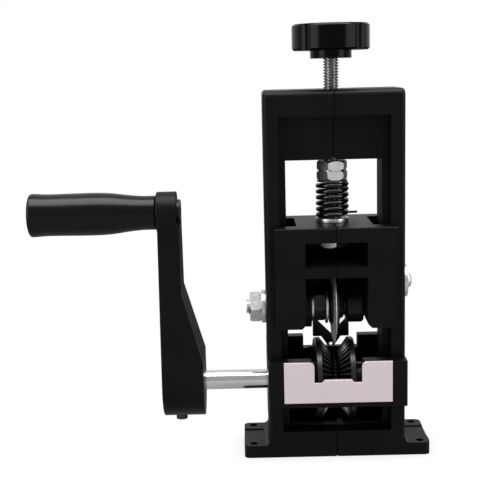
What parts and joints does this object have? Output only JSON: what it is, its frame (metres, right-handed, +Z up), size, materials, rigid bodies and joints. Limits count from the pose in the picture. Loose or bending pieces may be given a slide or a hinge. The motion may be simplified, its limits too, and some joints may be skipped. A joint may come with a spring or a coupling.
{
  "type": "hand-cranked cable stripping machine",
  "caption": "Hand-cranked bench machine that strips cable: a knob-driven spring-loaded carriage holds a disc blade over a grooved, ridged feed roller.",
  "frame": {"origin": "middle of the base's underside, at the centre of its bolt pattern", "axes": "+X along the drive shaft away from the crank, +Y away from the operator, +Z up"},
  "size_m": [0.2036, 0.0528, 0.22],
  "materials": {
    "black_casting": "satin black powder coat",
    "blackened_steel": "black oxide, semi-matt",
    "black_oxide_hardware": "oiled black oxide",
    "zinc_hardware": "bright zinc plate",
    "polished_shaft": "ground and polished",
    "roller_steel": "machined steel",
    "blade_steel": "ground tool steel",
    "front_plate_finish": "pale grey satin coat",
    "knob_plastic": "moulded, semi-gloss",
    "grip_plastic": "moulded, glossy",
    "spring_black": "gloss black coated wire",
    "bush_bronze": "sintered bronze"
  },
  "bodies": {
    "frame": {"frame_left_half": "black_casting", "frame_right_half": "black_casting", "frame_screws": "black_oxide_hardware", "base_tie_bolt": "black_oxide_hardware", "base_tie_nut": "black_oxide_hardware", "captive_nut": "zinc_hardware", "shaft_bush_left": "bush_bronze", "shaft_bush_right": "bush_bronze", "guide_carrier": "black_casting", "front_plate": "front_plate_finish", "plate_screws": "black_oxide_hardware", "rear_guide": "black_casting", "guide_bolts": "black_oxide_hardware"},
    "crank": {"drive_shaft": "polished_shaft", "feed_roller": "roller_steel", "shaft_spacers": "blackened_steel", "spacer_screws": "black_oxide_hardware", "crank_arm": "black_casting", "arm_set_screw": "black_oxide_hardware", "grip_spindle": "black_oxide_hardware"},
    "grip": {"handle_grip": "grip_plastic"},
    "spring_seat": {"spring_washer_upper": "zinc_hardware", "compression_spring": "spring_black"},
    "screw": {"threaded_rod": "zinc_hardware", "knob": "knob_plastic", "knob_insert": "zinc_hardware", "thrust_nut": "zinc_hardware", "lock_nut": "zinc_hardware", "retaining_nut": "zinc_hardware"},
    "carriage": {"carriage_left_half": "black_casting", "carriage_right_half": "black_casting", "carriage_screws": "black_oxide_hardware", "spring_washer_lower": "zinc_hardware", "cable_shoe": "blackened_steel", "blade_axle": "zinc_hardware", "axle_outer_washer": "zinc_hardware", "axle_outer_nut": "zinc_hardware", "axle_inner_nut": "black_oxide_hardware", "axle_inner_washer": "black_oxide_hardware", "axle_spacer_washer": "zinc_hardware", "side_stud": "zinc_hardware", "stud_washer": "zinc_hardware"},
    "blade": {"cutting_blade": "blade_steel", "blade_flange_left": "black_oxide_hardware", "blade_flange_right": "black_oxide_hardware", "blade_sleeve": "blackened_steel"}
  },
  "joints": [
    {"name": "crank_turn", "type": "hinge", "parent": "frame", "child": "crank", "pos_m": [0, 0, 0.03715], "axis": [1, 0, 0], "continuous": true},
    {"name": "grip_spin", "type": "hinge", "parent": "crank", "child": "grip", "pos_m": [-0.12, 0, 0.12715], "axis": [1, 0, 0], "continuous": true},
    {"name": "screw_feed", "type": "slide", "parent": "frame", "child": "spring_seat", "axis": [0, 0, 1], "range_m": [-0.0045, 0.013]},
    {"name": "screw_turn", "type": "hinge", "parent": "spring_seat", "child": "screw", "pos_m": [0, 0, 0.15], "axis": [0, 0, 1], "range_deg": [-1150, 3320]},
    {"name": "carriage_float", "type": "slide", "parent": "spring_seat", "child": "carriage", "axis": [0, 0, 1], "range_m": [0, 0.0035], "stiffness_N_per_m": 19500, "springref_m": -0.001, "deforming": ["compression_spring"]},
    {"name": "blade_spin", "type": "hinge", "parent": "carriage", "child": "blade", "pos_m": [0, 0, 0.0764], "axis": [1, 0, 0], "continuous": true}
  ],
  "couplings": [
    {"joint": "screw_turn", "follows": "screw_feed", "rad_per_m": 4453}
  ]
}
